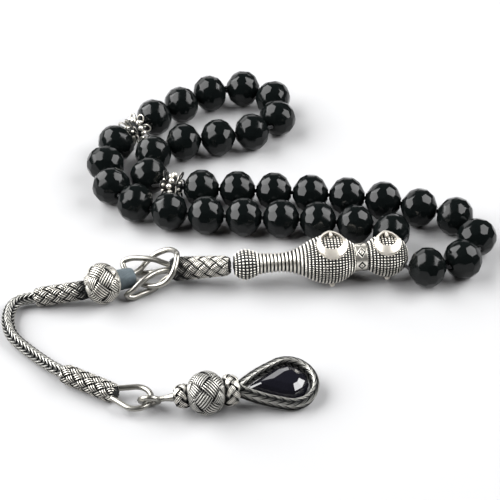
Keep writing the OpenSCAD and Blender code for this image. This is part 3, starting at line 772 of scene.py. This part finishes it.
def wrapped_collar():
    """Fine wire wound tightly round the necks of the link's bight."""
    made = Builder()
    axis = Vector(BALL_1) - Vector(COLLAR_MOUTH)
    length = axis.length - 3.2
    turns = 15
    z = np.linspace(0.05, length, turns * 36)
    angle = TAU * turns * z / length
    r = 2.42 - 0.25 * np.exp(-z * 3)
    out = np.stack([np.cos(angle), np.sin(angle), 0 * z], -1)
    path = out * r[:, None]
    path[:, 2] = z
    # The windings get painted shade on their undersides, and the core under them is painted dark as shade
    made.tube(path, out, 0.19, flat=0.55, patina_and_shade=0.1)
    made.turned([1.2, 2.3, 2.4], [0.1, 0.11, length], 36, 0.7)
    place = aim(COLLAR_MOUTH, axis)
    made.make("collar_windings", WRAP, "tassel_link", place, "dark_silver", ["wrapped_collar"])


wrapped_collar()


def link_wires():
    """The big bight, and the two small ones that it hooks through."""
    for name, routes, body, node in (
            ("link_bight", [LINK_ROUTE], "tassel_link", "link_wire"),
            ("hook_bights", [FAR_BIGHT_ROUTE, NEAR_BIGHT_ROUTE], "tassel_head", "hook_wires")):
        made = Builder()
        for route in routes:
            path = smooth_path(route, 12)
            made.tube(path, carried_normals(path), LINK_WIRE_R, 16)
        made.make(name, STEEL_WIRE, body, replaces=[node])


link_wires()


def chain():
    """Three spans of one run of knitting, each lying over one of the chain's joints."""
    steps = 10
    path = smooth_path(CHAIN_ROUTE, steps)
    run = run_along(path)
    # Bodies, solids replaced, the route's point at the joint, and where on the path the span ends
    spans = [
        (("tassel_link", "chain_part_2"), ["chain_1"], 4, 4 * steps),
        (("chain_part_2", "chain_part_3"), ["chain_2"], 6, 6 * steps),
        (("chain_part_3", "chain_end"), ["chain_3", "chain_4"], 8, len(path) - 1)]
    first = 0
    for number, (bodies, nodes, pivot, last) in enumerate(spans, 1):
        made = knitted(path, CHAIN_R, CHAIN_R, pitch=1.3, wire_r=0.29, spread=0.74,
                       part=run[[first, last]] / run[-1])
        # A core inside the knitting, painted dark as shade
        made.grid(plain_tube(path[first:last + 1], CHAIN_R - 0.6, CHAIN_R - 0.6), 1.0)
        piece = made.make(f"chain_knit_{number}", DULL_SILVER, None)
        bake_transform(piece)
        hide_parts(*nodes)
        first = last


chain()


# ---------- ring and pendant ----------
def bow(x, r, start, end, n):
    """An arc about a point on the x axis, between two angles in degrees."""
    q = np.radians(np.linspace(start, end, n + 1))
    return np.stack([x + r * np.cos(q), r * np.sin(q)], -1)


def pear(length, small_r, big_r, small_n, leg_n, bulge=0.0):
    """A pear-shaped outline with its two arcs about points that are length apart.
    small_n and leg_n are the parts of the small arc and of each side; bulge bends the sides outwards."""
    turn = math.asin((big_r - small_r) / length)
    normal = np.array([-math.sin(turn), math.cos(turn)])
    f = (np.arange(1, leg_n) / leg_n)[:, None]
    away = big_r * (1 - f) + small_r * f + bulge * np.sin(math.pi * f)
    leg = np.hstack([length * (1 - f), 0 * f]) + away * normal
    t = math.degrees(turn)
    outline = np.concatenate([bow(length, big_r, -90 - t, 90 + t, 40), leg,
                              bow(0, small_r, 90 + t, 270 - t, small_n), (leg * (1, -1))[::-1]])
    return np.hstack([outline, np.zeros((len(outline), 1))])


def ring():
    outline = pear(length=5.75, small_r=1.2, big_r=3.45, small_n=16, leg_n=10)
    made = Builder()
    made.tube(outline, np.tile((0, 0, 1.0), (len(outline), 1)), RING_R, 16, closed=True)
    place = Matrix.Translation(RING_PIVOT) @ turned_by(RING_YAW, "Z")
    made.make("pear_ring", STEEL_WIRE, "ring", place, replaces=["ring"])


ring()
dress("eye_pin", STEEL_WIRE)


def pendant_collars():
    """Small ribbons of wire woven round the pin and round the neck of the drop."""
    pin = Vector(BALL_2) - Vector(EYE)
    weave = {"leads": 3, "wire_r": 0.2, "lift": 0.36, "reach": 0.86}
    above = turks_head(Band(5.8, pin.length - 4.1, 2.1, 2.75, 2.6), bights=7, wires=3, width=1.3, **weave)
    # A core under the ribbon, painted dark as shade
    above.turned([1.9, 1.9], [5.9, pin.length - 4], 20, 1.0)
    above.make("collar_above_weave", SILVER, "pendant", aim(EYE, pin), replaces=["pendant_collars"])
    below = turks_head(Band(4.0, 7.3, 3.2, 3.6, 2.7), bights=8, wires=4, width=1.5, **weave)
    # A core under the ribbon, painted dark as shade
    below.turned([2.4, 2.4], [3.6, 7], 20, 1.0)
    below.make("collar_below_weave", SILVER, "pendant", DROP_PLACE @ turned_by(90, "Y"))


pendant_collars()


def stone_frame():
    """A knitted edge of fine doubled wire round the stone."""
    outline = pear(length=11, small_r=0.8, big_r=5.8, small_n=8, leg_n=14, bulge=0.35)
    outline = np.concatenate([outline, outline[:1]])
    made = knitted(outline, 1.12, 1.95, pitch=1.9, wire_r=0.155, spread=0.85,
                   doubled=0.34, closed=True, first_turn=0.4)
    # A core inside the knitting, painted dark as shade
    made.grid(plain_tube(outline, 0.62, 1.35, 16), 1.0)
    place = DROP_PLACE @ Matrix.Translation((8.2, 0, 0))
    made.make("stone_frame_braid", DULL_SILVER, "pendant", place, "dark_silver", ["stone_frame"])


stone_frame()


# ---------- studio ----------
def floor():
    bpy.ops.mesh.primitive_plane_add(size=6.0, location=(0, 0, 0))
    plane = bpy.context.object
    plane.name = "floor"
    material = principled(
        "floor", Base_Color=(0.38, 0.38, 0.385, 1), Roughness=0.9, Specular_IOR_Level=0.1)[0]
    plane.data.materials.append(material)


def softbox(name, yaw, pitch, distance, size, power):
    data = bpy.data.lights.new(name, "AREA")
    data.shape = "RECTANGLE"
    data.size, data.size_y = size
    data.energy = power
    light = bpy.data.objects.new(name, data)
    bpy.context.collection.objects.link(light)
    direction = Vector(along(yaw, pitch))
    light.location = LOOK_AT + direction * distance
    light.rotation_euler = direction.to_track_quat("Z", "Y").to_euler()


def world():
    sky = bpy.data.worlds.new("studio")
    sky.use_nodes = True
    tree = sky.node_tree
    place = tree.nodes.new("ShaderNodeTexCoord")
    parts = tree.nodes.new("ShaderNodeSeparateXYZ")
    tree.links.new(place.outputs["Generated"], parts.inputs["Vector"])
    glow = ramp(tree, parts.outputs["Z"], 0.05, 0.5, 0.8, 0.3)
    tree.links.new(glow, tree.nodes["Background"].inputs["Strength"])
    bpy.context.scene.world = sky


floor()
softbox("left_box", 172, 40, 0.8, (1.1, 0.75), 23)
softbox("right_box", 6, 40, 0.8, (0.75, 0.6), 12.5)
softbox("back_box", 98, 20, 0.9, (1.1, 0.3), 2.2)
world()
bpy.context.scene.view_settings.view_transform = "Standard"
